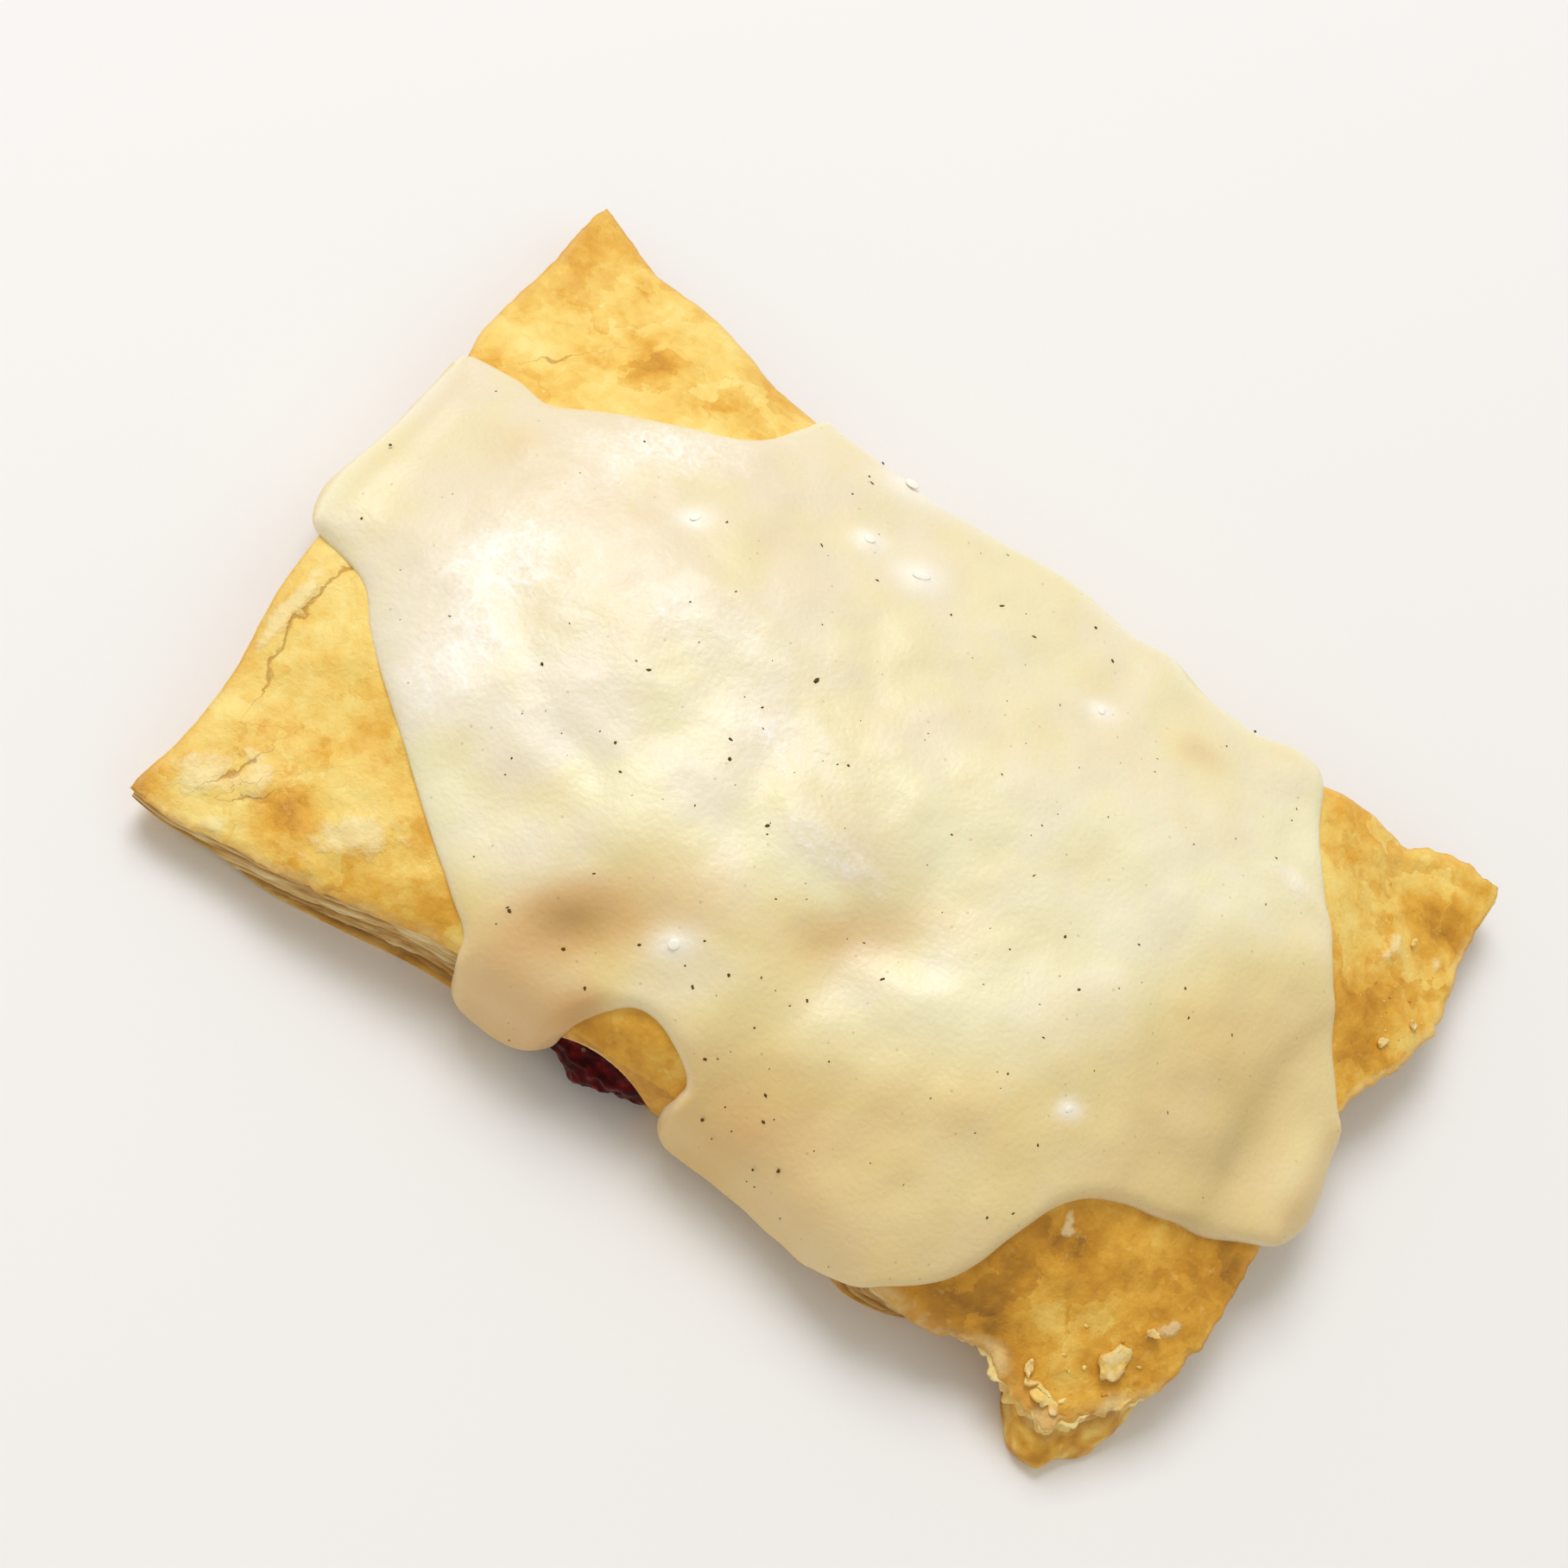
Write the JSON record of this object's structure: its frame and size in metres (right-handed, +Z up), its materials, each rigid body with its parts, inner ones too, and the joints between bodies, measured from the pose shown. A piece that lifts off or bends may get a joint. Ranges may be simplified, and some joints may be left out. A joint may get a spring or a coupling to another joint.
{
  "type": "turnover pastry",
  "caption": "Puff pastry pocket with lifted corners, dark berry filling showing at its side, and thick vanilla icing poured over the top.",
  "frame": {"origin": "middle of the pastry's box, at the height of its flat underside", "axes": "+X along the pastry, from the end with the pale flaked corner to the end with the ridged corner; +Z up; the side where the filling shows faces -Y"},
  "size_m": [0.131, 0.091, 0.0278],
  "materials": {
    "crust": "golden brown baked puff pastry, flaky, with paler cut layers",
    "berries": "glossy dark wine red berry filling",
    "icing": "satin ivory poured icing, slightly see-through, with vanilla specks"
  },
  "bodies": {
    "root": {"pastry": "crust", "filling": "berries", "icing": "icing"}
  },
  "joints": []
}
